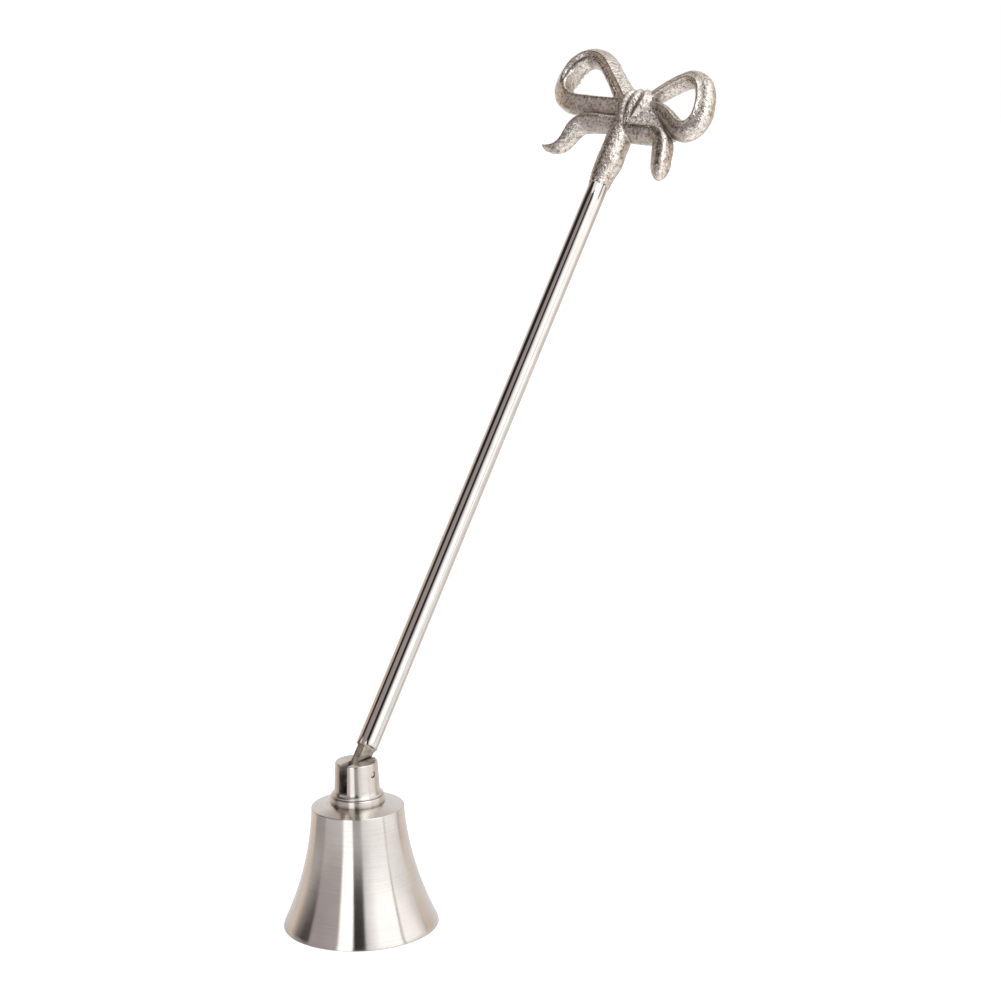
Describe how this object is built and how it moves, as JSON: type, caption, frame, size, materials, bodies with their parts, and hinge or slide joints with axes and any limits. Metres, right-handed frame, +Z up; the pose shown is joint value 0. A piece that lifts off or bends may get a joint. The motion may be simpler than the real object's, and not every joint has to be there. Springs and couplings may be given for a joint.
{
  "type": "candle snuffer",
  "caption": "Hinged candle snuffer in brushed nickel: a flared bell on a slotted post, a slim polished rod that folds on a pin, and a cast ribbon bow at the top.",
  "frame": {"origin": "centre of the bell's rim, on the plane that it stands on", "axes": "+Z up the bell's axis, +X the way that the handle leans at rest, +Y along the hinge pin"},
  "size_m": [0.1703, 0.059, 0.2351],
  "materials": {
    "brushed_nickel": "satin",
    "turned_nickel": "satin",
    "steel_hardware": "satin",
    "polished_nickel": "polished",
    "cast_nickel": "satin"
  },
  "bodies": {
    "bell_body": {"bell": "brushed_nickel", "seat_collar": "brushed_nickel", "hinge_post": "turned_nickel", "hinge_pin": "turned_nickel", "crown_washer": "steel_hardware", "stud_nut": "steel_hardware"},
    "handle": {"handle_rod": "polished_nickel", "bow_finial": "cast_nickel"}
  },
  "joints": [
    {"name": "handle_hinge", "type": "hinge", "parent": "bell_body", "child": "handle", "pos_m": [0, 0, 0.04345], "axis": [0, 1, 0], "range_deg": [-136, 61]}
  ]
}
